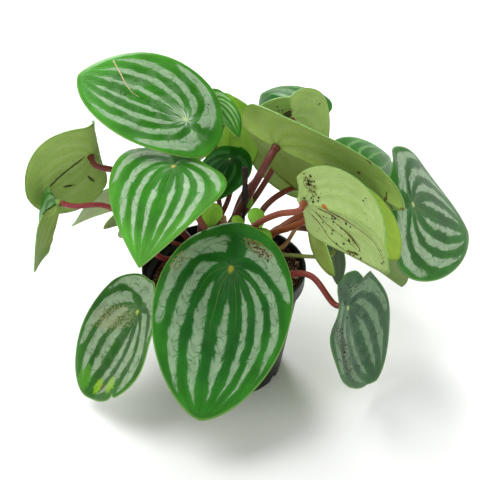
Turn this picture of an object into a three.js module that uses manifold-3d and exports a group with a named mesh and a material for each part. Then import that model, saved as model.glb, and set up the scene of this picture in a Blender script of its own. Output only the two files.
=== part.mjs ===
// A watermelon peperomia in a small black nursery pot: the pot, its soil, four short stems,
// and striped leaves, each a blade carried near its middle by one long stalk.
// Millimetres, +Z up. The origin is the centre of the pot's base; +X is the viewer's right,
// and -Y points at the viewer.
import * as THREE from "three";
import { mergeVertices } from "three/addons/utils/BufferGeometryUtils.js";
import Module from "manifold-3d";

const wasm = await Module();
wasm.setup();

// ---------------------------------------------------------------- driving dimensions

const GAP = 0.3; // clear space between pieces that touch
const POT = {
  height: 76,
  baseRadius: 36,
  neckRadius: 47.5,
  rimRadius: 51,
  rimHeight: 10,
  wall: 1.5,
  floor: 2,
  edge: 1, // how far the base corner and the rim's lip are taken back
  sides: 40,
};
const DRAIN = { count: 6, radius: 4, reach: 37, height: 2, length: 12, sides: 12 };
const SOIL = {
  level: 65,
  heap: 6, // rise towards +X, between the two places below
  heapFrom: -30,
  heapTo: 42,
  lump: 1,
  sag: 1.5, // drop at the wall
  wallGap: 0.5,
  rings: 7,
  sides: 32,
};
const STEM = {
  neckRadius: 5.5,
  footRadius: 5,
  knobRadius: 8.5,
  knobHeight: 84,
  knobRows: 8,
  foot: 52,
  sides: 12,
  holeSides: 16,
};
// Half thicknesses of a blade at its middle and at its margin, and the grid of points it is built on.
const BLADE = { middle: 0.6, margin: 0.35, sectors: 20, rings: [0.34, 0.64, 0.86, 1] };
const STALK = {
  sides: 6,
  steps: 9,
  root: 4, // straight run out of the knob
  neck: 7, // straight run up to the blade
  headGap: 0.9, // from the blade's middle half thickness to the stalk's end
  youngReach: 0.2, // a young leaf's stalk ends inside its blade
};
const FLAT = 1e-7; // stands for a bend of zero, which would divide by zero

const COLOURS = {
  pot: 0x16171a,
  soil: 0x2b2019,
  stem: 0x6b3a2c,
  stalk: 0x7a362c,
  blade: 0x3d8a3a,
  young: 0x86b84a,
  dry: 0x2a211c,
};

// The four short stems that the stalks grow from.
const STEMS = {
  left: [-14, 2],
  front: [2, -15],
  right: [15, -1],
  back: [0, 17],
};

// A blade's usual form. heading, pitch and roll turn it (degrees, heading from +X towards +Y, pitch up);
// attach is the share of its length that lies behind the stalk; droop bends the part beyond the stalk,
// tuck the part behind it, cup rolls the sides down, fold lifts the halves about the midrib, twist turns
// the tip, sway moves it sideways (mm), taper sharpens it, and stalk is the stalk's width.
const USUAL = {
  roll: 0,
  attach: 0.24,
  droop: 30,
  tuck: 12,
  cup: 15,
  fold: 0,
  twist: 0,
  sway: 0,
  taper: 0.7,
  stalk: 3.8,
};

// at is where the stalk meets the blade, and via are points that the stalk passes on its way there.
const LEAVES = [
  {
    name: "top_left", stem: "left", at: [-21, -5, 180], via: [[-14, 1, 130]],
    heading: 160, pitch: 30, roll: -10, length: 95, width: 73, droop: 35, tuck: 15, cup: -5, twist: -10,
    stalk: 4.2,
  },
  {
    name: "mid_left", stem: "front", at: [-27, -35, 167], via: [[-12, -22, 120]],
    heading: -110, pitch: 0, roll: -5, length: 94, width: 67, droop: 45, tuck: 20, cup: 10, twist: 25,
    sway: 10, taper: 0.9,
  },
  {
    name: "front", stem: "front", at: [5, -52, 110], via: [[4, -32, 103]],
    heading: -110, pitch: -40, roll: -10, length: 118, width: 82, droop: 25, tuck: 15, cup: 12, fold: -5,
    twist: -5, sway: 4, taper: 0.65, stalk: 4.6,
  },
  {
    name: "low_left", stem: "front", at: [-50, -44, 73], via: [[-28, -33, 93]],
    heading: 200, pitch: -60, roll: -10, length: 91, width: 66, droop: 5, tuck: -10, cup: 8, fold: 15,
    twist: -5, sway: -8, taper: 0.6,
  },
  {
    name: "far_left", stem: "left", at: [-78, 0, 154], via: [[-30, -3, 109], [-60, -3, 144]],
    heading: 203, pitch: -15, roll: 68, length: 60, width: 71, attach: 0.27, droop: 3, tuck: -135,
    cup: 18, fold: 2, twist: 11, sway: -8, taper: 0.6,
  },
  {
    name: "left_edge", stem: "left", at: [-93, -32, 141], via: [[-37, -24, 98], [-66, -28, 136]],
    heading: 147, pitch: -74, roll: -30, length: 49, width: 46, attach: 0.09, droop: -5, tuck: -140,
    cup: 45, fold: 48, twist: -16, sway: 13, taper: 0.7, stalk: 3.2,
  },
  {
    name: "left_back", stem: "left", at: [-63, 42, 106], via: [[-42, 22, 110]],
    heading: 158, pitch: -33, roll: 36, length: 68, width: 61, droop: 21, tuck: 12, cup: 18, fold: -5,
    twist: -29, sway: -3, taper: 0.73,
  },
  {
    name: "inner", stem: "left", at: [4, 28, 136], via: [[3, 18, 114]],
    heading: -130, pitch: -25, length: 46, width: 36, droop: 15, cup: 15, stalk: 3.2,
  },
  {
    name: "upper_back", stem: "back", at: [4, 50, 156], via: [[-4, 38, 108], [-6, 47, 132]],
    heading: 95, pitch: -75, roll: 30, length: 72, width: 46, droop: 15, stalk: 3,
  },
  {
    name: "top_back", stem: "back", at: [50, 88, 141], via: [[12, 48, 100], [32, 76, 104], [58, 92, 112]],
    heading: 130, pitch: 0, roll: -35, length: 78, width: 56, droop: 40, tuck: 15, cup: 45, fold: -20,
    twist: -10, sway: 12, stalk: 2.4,
  },
  {
    name: "top", stem: "back", at: [42, 53, 150], via: [[22, 36, 108], [36, 45, 130]],
    heading: 65, pitch: -75, roll: -45, length: 85, width: 63, droop: 12, cup: 0, fold: 20,
  },
  {
    name: "right_big", stem: "left", at: [32, 12, 154], via: [[1, 0, 101], [15, 5, 124]],
    heading: -30, pitch: -10, roll: -60, length: 115, width: 92, droop: 5, tuck: -10, cup: 55, fold: 25,
    stalk: 5,
  },
  {
    name: "right_front", stem: "front", at: [46, -45, 149], via: [[17, -20, 116], [31, -38, 137]],
    heading: -21, pitch: 6, roll: -88, length: 87, width: 53, attach: 0.12, droop: 69, tuck: -127,
    cup: 26, fold: 15, twist: -8, sway: 11, taper: 0.8,
  },
  {
    name: "far_right", stem: "right", at: [115, 11, 114],
    via: [[28, -2, 99], [48, 6, 109], [84, 26, 106]],
    heading: 47, pitch: -39, roll: 60, length: 113, width: 88, droop: -3, tuck: 10, cup: 26, twist: -9,
    sway: 2, stalk: 4.4,
  },
  {
    name: "right_back", stem: "right", at: [90, 62, 109], via: [[24, 14, 108], [40, 28, 114]],
    heading: 61, pitch: -12, roll: 36, length: 90, width: 61, droop: 21, tuck: 12, cup: 22, fold: -9,
    twist: 10, sway: 1,
  },
  {
    name: "low_right", stem: "front", at: [73, -45, 77], via: [[34, -24, 86], [52, -33, 91]],
    heading: 25, pitch: -75, roll: 55, length: 93, width: 67, droop: 0, tuck: -10, cup: 10, fold: 15,
    twist: 5, sway: 8,
  },
  {
    name: "right_low_back", stem: "right", at: [76, 32, 90], via: [[34, 12, 96]],
    heading: 25, pitch: -40, roll: -20, length: 100, width: 74, droop: 30, tuck: 15, cup: 20, fold: -5,
    taper: 0.85,
  },
  {
    name: "right_inner", stem: "front", at: [62, -24, 142], via: [[26, -6, 102], [41, -18, 116]],
    heading: 20, pitch: -40, roll: -60, length: 82, width: 45, droop: 35, tuck: 0, cup: 15,
  },
  {
    name: "back_left", stem: "back", at: [-24, 76, 137], via: [[-22, 38, 112]],
    heading: 100, pitch: -45, length: 82, width: 58,
  },
  {
    name: "back_low_left", stem: "left", at: [-38, 52, 90], via: [[-30, 24, 92]],
    heading: 130, pitch: -35, length: 78, width: 58,
  },
];

// Young leaves, each one piece with its stalk.
const YOUNG = [
  {
    name: "young_folded", stem: "back", at: [-6, 26, 176], via: [[-22, 20, 118], [-20, 26, 150]],
    heading: -35, pitch: -40, length: 34, width: 20, droop: 10, cup: 5, fold: 30, stalk: 2.4,
  },
  {
    name: "young_left", stem: "left", at: [-47, 10, 113], via: [[-37, -2, 98]],
    heading: 180, pitch: -15, roll: 50, length: 40, width: 26, stalk: 2.6,
  },
  {
    name: "young_right", stem: "right", at: [53, -4, 110], via: [[36, -12, 98]],
    heading: -72, pitch: -28, roll: -88, length: 43, width: 25, attach: 0.12, droop: -8, cup: 1, fold: -4,
    twist: -5, stalk: 2.6,
  },
  {
    name: "young_right_back", stem: "right", at: [70, 12, 82], via: [[36, 0, 84]],
    heading: 60, pitch: -75, length: 43, width: 13, droop: 10, stalk: 2.6,
  },
  {
    name: "young_crown_left", stem: "front", at: [-6, -12, 125], via: [[-9, -8, 108]],
    heading: -110, pitch: -40, length: 15, width: 13, stalk: 1.6,
  },
  {
    name: "young_crown_back", stem: "back", at: [15, 12, 118], via: [[9, 15, 104]],
    heading: -80, pitch: -40, length: 9, width: 6, stalk: 1.4,
  },
  {
    name: "young_crown_middle", stem: "right", at: [8, -8, 115], via: [[12, -8, 102]],
    heading: -60, pitch: -30, length: 11, width: 8, stalk: 1.4,
  },
  {
    name: "young_crown_low", stem: "right", at: [24, -14, 110], via: [[24, -9, 98]],
    heading: -40, pitch: -30, length: 11, width: 9, stalk: 1.4,
  },
  {
    name: "young_small_right", stem: "right", at: [19, -10, 121], via: [[19, -7, 105]],
    heading: -60, pitch: -35, length: 13, width: 11, stalk: 1.6,
  },
];

// Dried pieces that still stand on the stems: a flower spike, and the stub of an old stalk.
const DRIED = [
  { name: "dry_spike", stem: "right", points: [[12, 0, 106], [13, -2, 126], [13, -2, 147]], width: 2.4 },
  { name: "old_stub", stem: "front", points: [[1, -10, 104], [0, -10, 118]], width: 4 },
];

// ---------------------------------------------------------------- closed solids and booleans

function solidOf(geometry) {
  const bare = geometry.clone();
  bare.deleteAttribute("normal");
  bare.deleteAttribute("uv");
  const merged = mergeVertices(bare, 1e-4);
  return new wasm.Manifold(
    new wasm.Mesh({
      numProp: 3,
      vertProperties: merged.attributes.position.array,
      triVerts: new Uint32Array(merged.index.array),
    }),
  );
}

function geometryOf(solid) {
  const { vertProperties, triVerts } = solid.getMesh();
  const geometry = new THREE.BufferGeometry();
  geometry.setAttribute("position", new THREE.BufferAttribute(new Float32Array(vertProperties), 3));
  geometry.setIndex(new THREE.BufferAttribute(new Uint32Array(triVerts), 1));
  geometry.computeVertexNormals();
  return geometry;
}

function turned(points, sides) {
  // A lathe turned about Z from [radius, height] pairs.
  const profile = points.map(([r, z]) => new THREE.Vector2(r, z));
  return new THREE.LatheGeometry(profile, sides).rotateX(Math.PI / 2);
}

function meshGeometry(points, triangles) {
  const geometry = new THREE.BufferGeometry();
  geometry.setAttribute("position", new THREE.BufferAttribute(new Float32Array(points.flat()), 3));
  geometry.setIndex(triangles.flat());
  geometry.computeVertexNormals();
  return geometry;
}

// ---------------------------------------------------------------- pot

// Outer radius of the pot's tapering wall at a height, below its rim.
function wallRadius(z) {
  return POT.baseRadius + ((POT.neckRadius - POT.baseRadius) * z) / (POT.height - POT.rimHeight);
}

function potGeometry() {
  const { height, baseRadius, neckRadius, rimRadius, rimHeight, wall, floor, edge } = POT;
  const shoulder = height - rimHeight;
  const shell = turned(
    [
      [0, 0],
      [baseRadius - edge, 0],
      [baseRadius, edge],
      [neckRadius, shoulder],
      [rimRadius - edge, shoulder],
      [rimRadius, height - edge],
      [rimRadius - edge * 0.7, height],
      [rimRadius - wall, height],
      [rimRadius - wall - edge, shoulder + wall],
      [neckRadius - wall, shoulder],
      [wallRadius(floor) - wall, floor],
      [0, floor],
    ],
    POT.sides,
  );
  let pot = solidOf(shell);
  for (let i = 0; i < DRAIN.count; i++) {
    // A drain hole breaks through the corner between the wall and the floor.
    const hole = new THREE.CylinderGeometry(DRAIN.radius, DRAIN.radius, DRAIN.length, DRAIN.sides)
      .rotateZ(Math.PI / 4)
      .translate(DRAIN.reach, 0, DRAIN.height)
      .rotateZ(((i + 0.5) / DRAIN.count) * 2 * Math.PI);
    pot = pot.subtract(solidOf(hole));
  }
  return geometryOf(pot);
}

// ---------------------------------------------------------------- soil

// Height of the soil's uneven top: heaped towards +X, with lumps.
function soilTop(x, y) {
  const slope = THREE.MathUtils.smoothstep(x, SOIL.heapFrom, SOIL.heapTo);
  const lumps =
    Math.sin(x * 0.31 + 1.2) * Math.cos(y * 0.27) +
    0.6 * Math.sin(x * 0.73 + y * 0.51) +
    0.5 * Math.cos(y * 0.83 - x * 0.37);
  return SOIL.level + SOIL.heap * slope + SOIL.lump * lumps;
}

function soilGeometry() {
  const { rings, sides } = SOIL;
  const bottom = POT.floor + GAP;
  const inset = POT.wall + SOIL.wallGap;
  const points = [];
  const triangles = [];
  const ring = (count, place) => {
    for (let i = 0; i < count; i++) points.push(place((i / count) * 2 * Math.PI));
  };
  points.push([0, 0, bottom]);
  ring(sides, (a) => {
    const r = wallRadius(bottom) - inset;
    return [r * Math.cos(a), r * Math.sin(a), bottom];
  });
  for (let k = rings; k >= 1; k--) {
    ring(sides, (a) => {
      const edge = wallRadius(SOIL.level - 2 * SOIL.sag) - inset;
      const r = (edge * k) / rings;
      const x = r * Math.cos(a);
      const y = r * Math.sin(a);
      return [x, y, soilTop(x, y) - (k === rings ? SOIL.sag : 0)];
    });
  }
  points.push([0, 0, soilTop(0, 0)]);
  const first = (level) => 1 + level * sides;
  for (let i = 0; i < sides; i++) {
    const next = (i + 1) % sides;
    triangles.push([0, first(0) + next, first(0) + i]);
    for (let level = 0; level < rings; level++) {
      const [a, b] = [first(level) + i, first(level) + next];
      const [c, d] = [first(level + 1) + i, first(level + 1) + next];
      triangles.push([a, b, d], [a, d, c]);
    }
    triangles.push([first(rings) + i, first(rings) + next, points.length - 1]);
  }
  let soil = solidOf(meshGeometry(points, triangles));
  for (const [x, y] of Object.values(STEMS)) {
    const r = STEM.neckRadius + GAP;
    const [from, to] = [STEM.foot - GAP, POT.height];
    const hole = turned([[0, from], [r, from], [r, to], [0, to]], STEM.holeSides);
    soil = soil.subtract(solidOf(hole.translate(x, y, 0)));
  }
  return geometryOf(soil);
}

// ---------------------------------------------------------------- stems

function stemGeometry([x, y]) {
  const { neckRadius, footRadius, knobRadius, knobHeight, knobRows, foot, sides } = STEM;
  const profile = [[0, foot], [footRadius, foot], [neckRadius - GAP, knobHeight - knobRadius - 1]];
  // The knob is a ball from 60 degrees below its middle to its top.
  for (let i = 1; i < knobRows; i++) {
    const a = -Math.PI / 3 + (i / knobRows) * ((5 / 6) * Math.PI);
    profile.push([knobRadius * Math.cos(a), knobHeight + knobRadius * Math.sin(a)]);
  }
  profile.push([0, knobHeight + knobRadius]);
  return turned(profile, sides).translate(x, y, 0);
}

// ---------------------------------------------------------------- blades

// Unit vectors of a leaf: along it, across it, and out of its upper side.
function leafAxes({ heading, pitch, roll }) {
  const [h, p, r] = [heading, pitch, roll].map(THREE.MathUtils.degToRad);
  const along = new THREE.Vector3(Math.cos(p) * Math.cos(h), Math.cos(p) * Math.sin(h), Math.sin(p));
  const level = new THREE.Vector3(-Math.sin(h), Math.cos(h), 0);
  const above = along.clone().cross(level);
  return {
    along,
    across: level.clone().multiplyScalar(Math.cos(r)).addScaledVector(above, Math.sin(r)),
    up: above.multiplyScalar(Math.cos(r)).addScaledVector(level, -Math.sin(r)),
  };
}

// A point of the leaf's middle surface, from its place on the flat leaf: u along it, v across it.
function leafPoint(leaf, axes, u, v) {
  const rad = THREE.MathUtils.degToRad;
  const ahead = (1 - leaf.attach) * leaf.length;
  const behind = leaf.attach * leaf.length;
  const bend = (u >= 0 ? rad(leaf.droop) / ahead : rad(leaf.tuck) / behind) || FLAT;
  const side = v + (u >= 0 ? leaf.sway * (u / ahead) ** 2 : 0);
  const roll = (rad(leaf.cup) * 2) / leaf.width || FLAT;
  const out = Math.sin(roll * Math.abs(side)) / roll;
  const down = -(1 - Math.cos(roll * Math.abs(side))) / roll;
  const fold = rad(leaf.fold);
  const across = Math.sign(side) * (out * Math.cos(fold) - down * Math.sin(fold));
  const lift = out * Math.sin(fold) + down * Math.cos(fold);
  const twist = (rad(leaf.twist) * u) / ahead;
  const y = across * Math.cos(twist) - lift * Math.sin(twist);
  const z = across * Math.sin(twist) + lift * Math.cos(twist);
  const turn = bend * u;
  return new THREE.Vector3(...leaf.at)
    .addScaledVector(axes.along, Math.sin(turn) / bend + z * Math.sin(turn))
    .addScaledVector(axes.across, y)
    .addScaledVector(axes.up, -(1 - Math.cos(turn)) / bend + z * Math.cos(turn));
}

// The flat leaf's outline at t, from 0 at the base over 1 at the tip to 2 at the base again.
function outline(leaf, t) {
  const s = (1 - Math.cos(Math.PI * t)) / 2;
  const widest = 0.5 / (0.5 + leaf.taper);
  const shape = (q) => Math.sqrt(q) * (1 - q) ** leaf.taper;
  const v = (Math.sign(1 - t) * (leaf.width / 2) * shape(s)) / shape(widest);
  return [(s - leaf.attach) * leaf.length, t === 1 || t === 0 ? 0 : v];
}

function bladeGeometry(leaf) {
  const axes = leafAxes(leaf);
  const step = 0.5; // how far apart points are taken to find the slope
  const place = (u, v, share, side) => {
    const du = leafPoint(leaf, axes, u + step, v).sub(leafPoint(leaf, axes, u - step, v));
    const dv = leafPoint(leaf, axes, u, v + step).sub(leafPoint(leaf, axes, u, v - step));
    const half = THREE.MathUtils.lerp(BLADE.middle, BLADE.margin, share ** 3);
    return leafPoint(leaf, axes, u, v).addScaledVector(du.cross(dv).normalize(), side * half).toArray();
  };
  const { sectors, rings } = BLADE;
  const points = [];
  for (const side of [1, -1]) {
    points.push(place(0, 0, 0, side));
    for (const share of rings) {
      for (let i = 0; i < sectors; i++) {
        const [u, v] = outline(leaf, (2 * i) / sectors);
        points.push(place(u * share, v * share, share, side));
      }
    }
  }
  const face = points.length / 2;
  const triangles = [];
  const both = (a, b, c) => triangles.push([a, c, b], [a + face, b + face, c + face]);
  for (let i = 0; i < sectors; i++) {
    const next = (i + 1) % sectors;
    both(0, 1 + i, 1 + next);
    for (let k = 0; k + 1 < rings.length; k++) {
      const [a, b] = [1 + k * sectors + i, 1 + k * sectors + next];
      both(a, a + sectors, b + sectors);
      both(a, b + sectors, b);
    }
    const [a, b] = [1 + (rings.length - 1) * sectors + i, 1 + (rings.length - 1) * sectors + next];
    triangles.push([a, b, b + face], [a, b + face, a + face]);
  }
  return meshGeometry(points, triangles);
}

// ---------------------------------------------------------------- stalks

// A tube with a polygonal section that leaves its stem's knob squarely and ends at the last point.
function tubeGeometry(stem, points, width) {
  const knob = new THREE.Vector3(...STEMS[stem], STEM.knobHeight);
  const aim = points[0].clone().sub(knob).normalize();
  const root = knob.clone().addScaledVector(aim, STEM.knobRadius + GAP);
  const start = root.clone().addScaledVector(aim, STALK.root);
  const curve = new THREE.CatmullRomCurve3([root, start, ...points]);
  const section = new THREE.Shape();
  for (let i = 0; i < STALK.sides; i++) {
    const a = (i / STALK.sides) * 2 * Math.PI;
    const point = [(width / 2) * Math.cos(a), (width / 2) * Math.sin(a)];
    if (i === 0) section.moveTo(...point);
    else section.lineTo(...point);
  }
  section.closePath();
  const { steps } = STALK;
  return new THREE.ExtrudeGeometry(section, { steps, extrudePath: curve, bevelEnabled: false });
}

// A stalk meets its blade squarely from below and stops short of the blade's middle surface by reach.
function stalkGeometry(leaf, reach) {
  const { up } = leafAxes(leaf);
  const top = new THREE.Vector3(...leaf.at).addScaledVector(up, -reach);
  const way = leaf.via.map((p) => new THREE.Vector3(...p));
  return tubeGeometry(leaf.stem, [...way, top.clone().addScaledVector(up, -STALK.neck), top], leaf.stalk);
}

// ---------------------------------------------------------------- the plant

const plant = new THREE.Group();

function add(name, geometry, color, roughness) {
  const mesh = new THREE.Mesh(geometry, new THREE.MeshStandardMaterial({ color, roughness, metalness: 0 }));
  mesh.name = name;
  plant.add(mesh);
}

add("pot", potGeometry(), COLOURS.pot, 0.5);
add("soil", soilGeometry(), COLOURS.soil, 1);
for (const [name, place] of Object.entries(STEMS)) {
  add(`stem_${name}`, stemGeometry(place), COLOURS.stem, 0.7);
}
for (const entry of LEAVES) {
  const leaf = { ...USUAL, ...entry };
  add(`leaf_${leaf.name}`, bladeGeometry(leaf), COLOURS.blade, 0.45);
  add(`stalk_${leaf.name}`, stalkGeometry(leaf, BLADE.middle + STALK.headGap), COLOURS.stalk, 0.55);
}
for (const entry of YOUNG) {
  const leaf = { ...USUAL, ...entry };
  const whole = solidOf(bladeGeometry(leaf)).add(solidOf(stalkGeometry(leaf, STALK.youngReach)));
  add(leaf.name, geometryOf(whole), COLOURS.young, 0.45);
}
for (const { name, stem, points, width } of DRIED) {
  const line = points.map((p) => new THREE.Vector3(...p));
  add(name, tubeGeometry(stem, line, width), COLOURS.dry, 0.9);
}

export default plant;
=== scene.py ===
"""The looks of a watermelon peperomia in a small black nursery pot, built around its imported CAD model.
Shapes are worked out in millimetres in the CAD's frame and written to meshes in metres."""
import functools
import itertools
import random
from math import atan2, cos, hypot, pi, radians, sin, sqrt

import bpy
import numpy as np
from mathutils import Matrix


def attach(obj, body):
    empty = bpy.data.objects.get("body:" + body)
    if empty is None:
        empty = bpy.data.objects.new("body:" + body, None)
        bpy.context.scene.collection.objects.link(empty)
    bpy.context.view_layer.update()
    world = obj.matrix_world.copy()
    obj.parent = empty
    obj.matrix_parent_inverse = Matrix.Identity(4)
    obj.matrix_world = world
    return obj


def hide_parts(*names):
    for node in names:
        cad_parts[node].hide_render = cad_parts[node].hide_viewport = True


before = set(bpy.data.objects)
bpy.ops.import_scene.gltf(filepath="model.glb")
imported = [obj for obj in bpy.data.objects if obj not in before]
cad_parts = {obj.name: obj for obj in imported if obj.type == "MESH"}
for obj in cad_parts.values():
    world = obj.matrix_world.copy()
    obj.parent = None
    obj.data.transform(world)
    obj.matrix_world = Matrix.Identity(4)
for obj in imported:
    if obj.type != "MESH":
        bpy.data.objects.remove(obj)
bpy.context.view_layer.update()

MM = 0.001

# -------- the plant's own sizes, as in the CAD

POT = dict(height=76, base=36, neck=47.5, rim=51, rim_height=10, wall=1.5, floor=2)
DRAIN = dict(count=6, radius=4, reach=37)
SOIL = dict(level=65, heap=6, heap_from=-30, heap_to=42, lump=1)
STEM = dict(neck=5.5, knob=8.5, height=84, foot=52)
STEMS = {"left": (-14, 2), "front": (2, -15), "right": (15, -1), "back": (0, 17)}
GAP = 0.3  # clear space between pieces that touch
SOIL_GAP = 0.5  # the same between the soil and the wall
BLADE_MIDDLE = 0.6  # half a blade's thickness at its stalk
BLADE_MARGIN = 0.35  # and at its margin
STALK_NECK = 7  # the stalk's straight run up to the blade
FLAT = 1e-7  # stands for a bend of zero, which would divide by zero

USUAL = dict(
    roll=0, attach=0.24, droop=30, tuck=12, cup=15, fold=0, twist=0, sway=0, taper=0.7, stalk=3.8
)


def leaf_of(stem, at, via, heading, pitch, length, width, **more):
    """A leaf: its stem, where its stalk ends and what that passes, its direction and size, and the bends,
    in degrees, and widths that aren't usual."""
    own = dict(stem=stem, at=at, via=via, heading=heading, pitch=pitch, length=length, width=width)
    return {**USUAL, **own, **more}


LEAVES = dict(
    top_left=leaf_of(
        "left", [-21, -5, 180], [[-14, 1, 130]], 160, 30, 95, 73,
        roll=-10, droop=35, tuck=15, cup=-5, twist=-10, stalk=4.2,
    ),
    mid_left=leaf_of(
        "front", [-27, -35, 167], [[-12, -22, 120]], -110, 0, 94, 67,
        roll=-5, droop=45, tuck=20, cup=10, twist=25, sway=10, taper=0.9,
    ),
    front=leaf_of(
        "front", [5, -52, 110], [[4, -32, 103]], -110, -40, 118, 82,
        roll=-10, droop=25, tuck=15, cup=12, fold=-5, twist=-5, sway=4, taper=0.65, stalk=4.6,
    ),
    low_left=leaf_of(
        "front", [-50, -44, 73], [[-28, -33, 93]], 200, -60, 91, 66,
        roll=-10, droop=5, tuck=-10, cup=8, fold=15, twist=-5, sway=-8, taper=0.6,
    ),
    far_left=leaf_of(
        "left", [-78, 0, 154], [[-30, -3, 109], [-60, -3, 144]], 203, -15, 60, 71,
        roll=68, attach=0.27, droop=3, tuck=-135, cup=18, fold=2, twist=11, sway=-8, taper=0.6,
    ),
    left_edge=leaf_of(
        "left", [-93, -32, 141], [[-37, -24, 98], [-66, -28, 136]], 147, -74, 49, 46,
        roll=-30, attach=0.09, droop=-5, tuck=-140, cup=45, fold=48, twist=-16, sway=13, stalk=3.2,
    ),
    left_back=leaf_of(
        "left", [-63, 42, 106], [[-42, 22, 110]], 158, -33, 68, 61,
        roll=36, droop=21, cup=18, fold=-5, twist=-29, sway=-3, taper=0.73,
    ),
    inner=leaf_of(
        "left", [4, 28, 136], [[3, 18, 114]], -130, -25, 46, 36, droop=15, stalk=3.2,
    ),
    upper_back=leaf_of(
        "back", [4, 50, 156], [[-4, 38, 108], [-6, 47, 132]], 95, -75, 72, 46, roll=30, droop=15, stalk=3,
    ),
    top_back=leaf_of(
        "back", [50, 88, 141], [[12, 48, 100], [32, 76, 104], [58, 92, 112]], 130, 0, 78, 56,
        roll=-35, droop=40, tuck=15, cup=45, fold=-20, twist=-10, sway=12, stalk=2.4,
    ),
    top=leaf_of(
        "back", [42, 53, 150], [[22, 36, 108], [36, 45, 130]], 65, -75, 85, 63,
        roll=-45, droop=12, cup=0, fold=20,
    ),
    right_big=leaf_of(
        "left", [32, 12, 154], [[1, 0, 101], [15, 5, 124]], -30, -10, 115, 92,
        roll=-60, droop=5, tuck=-10, cup=55, fold=25, stalk=5,
    ),
    right_front=leaf_of(
        "front", [46, -45, 149], [[17, -20, 116], [31, -38, 137]], -21, 6, 87, 53,
        roll=-88, attach=0.12, droop=69, tuck=-127, cup=26, fold=15, twist=-8, sway=11, taper=0.8,
    ),
    far_right=leaf_of(
        "right", [115, 11, 114], [[28, -2, 99], [48, 6, 109], [84, 26, 106]], 47, -39, 113, 88,
        roll=60, droop=-3, tuck=10, cup=26, twist=-9, sway=2, stalk=4.4,
    ),
    right_back=leaf_of(
        "right", [90, 62, 109], [[24, 14, 108], [40, 28, 114]], 61, -12, 90, 61,
        roll=36, droop=21, cup=22, fold=-9, twist=10, sway=1,
    ),
    low_right=leaf_of(
        "front", [73, -45, 77], [[34, -24, 86], [52, -33, 91]], 25, -75, 93, 67,
        roll=55, droop=0, tuck=-10, cup=10, fold=15, twist=5, sway=8,
    ),
    right_low_back=leaf_of(
        "right", [76, 32, 90], [[34, 12, 96]], 25, -40, 100, 74,
        roll=-20, tuck=15, cup=20, fold=-5, taper=0.85,
    ),
    right_inner=leaf_of(
        "front", [62, -24, 142], [[26, -6, 102], [41, -18, 116]], 20, -40, 82, 45,
        roll=-60, droop=35, tuck=0,
    ),
    back_left=leaf_of(
        "back", [-24, 76, 137], [[-22, 38, 112]], 100, -45, 82, 58,
    ),
    back_low_left=leaf_of(
        "left", [-38, 52, 90], [[-30, 24, 92]], 130, -35, 78, 58,
    ),
)

YOUNG = dict(
    young_folded=leaf_of(
        "back", [-6, 26, 176], [[-22, 20, 118], [-20, 26, 150]], -35, -40, 34, 20,
        droop=10, cup=5, fold=30, stalk=2.4,
    ),
    young_left=leaf_of(
        "left", [-47, 10, 113], [[-37, -2, 98]], 180, -15, 40, 26, roll=50, stalk=2.6,
    ),
    young_right=leaf_of(
        "right", [53, -4, 110], [[36, -12, 98]], -72, -28, 43, 25,
        roll=-88, attach=0.12, droop=-8, cup=1, fold=-4, twist=-5, stalk=2.6,
    ),
    young_right_back=leaf_of(
        "right", [70, 12, 82], [[36, 0, 84]], 60, -75, 43, 13, droop=10, stalk=2.6,
    ),
    young_crown_left=leaf_of(
        "front", [-6, -12, 125], [[-9, -8, 108]], -110, -40, 15, 13, stalk=1.6,
    ),
    young_crown_back=leaf_of(
        "back", [15, 12, 118], [[9, 15, 104]], -80, -40, 9, 6, stalk=1.4,
    ),
    young_crown_middle=leaf_of(
        "right", [8, -8, 115], [[12, -8, 102]], -60, -30, 11, 8, stalk=1.4,
    ),
    young_crown_low=leaf_of(
        "right", [24, -14, 110], [[24, -9, 98]], -40, -30, 11, 9, stalk=1.4,
    ),
    young_small_right=leaf_of(
        "right", [19, -10, 121], [[19, -7, 105]], -60, -35, 13, 11, stalk=1.6,
    ),
)

SPIKE = [[12, 0, 106], [13, -2, 126], [13, -2, 147]]
STUB = [[1, -10, 104], [0, -10, 118]]
SPIKE_RADIUS, STUB_RADIUS = 1.2, 2

# -------- camera, light and floor


def put(name, data):
    """A new object in the scene."""
    made = bpy.data.objects.new(name, data)
    bpy.context.scene.collection.objects.link(made)
    return made


def make_camera():
    """Looks along +Y, 33 degrees down, from 800 mm before the point between the leaves."""
    tilt = radians(33)
    distance = 0.8
    target = (0.010, 0.0, 0.095)
    data = bpy.data.cameras.new("camera")
    data.sensor_width = 36
    data.lens = 97.9
    camera = put("camera", data)
    back, up = distance * cos(tilt), distance * sin(tilt)
    camera.location = (target[0], target[1] - back, target[2] + up)
    camera.rotation_euler = (pi / 2 - tilt, 0, 0)
    bpy.context.scene.camera = camera


def make_lamp(name, place, size, watts):
    """A round lamp that shines at the middle of the leaves."""
    data = bpy.data.lights.new(name, "AREA")
    data.shape = "DISK"
    data.size = size
    data.energy = watts
    lamp = put(name, data)
    lamp.location = place
    x, y, z = (a - p for a, p in zip((0, 0, 0.1), place))
    lamp.rotation_euler = (atan2(hypot(x, y), -z), 0, atan2(-x, y))


def make_world(strength):
    world = bpy.data.worlds.new("studio")
    world.use_nodes = True
    back = world.node_tree.nodes["Background"]
    back.inputs["Color"].default_value = (1, 1, 1, 1)
    back.inputs["Strength"].default_value = strength
    bpy.context.scene.world = world


# -------- materials


MAP_UNIT = 100  # millimetres of a flat leaf for 1 in its map named flat


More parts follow.
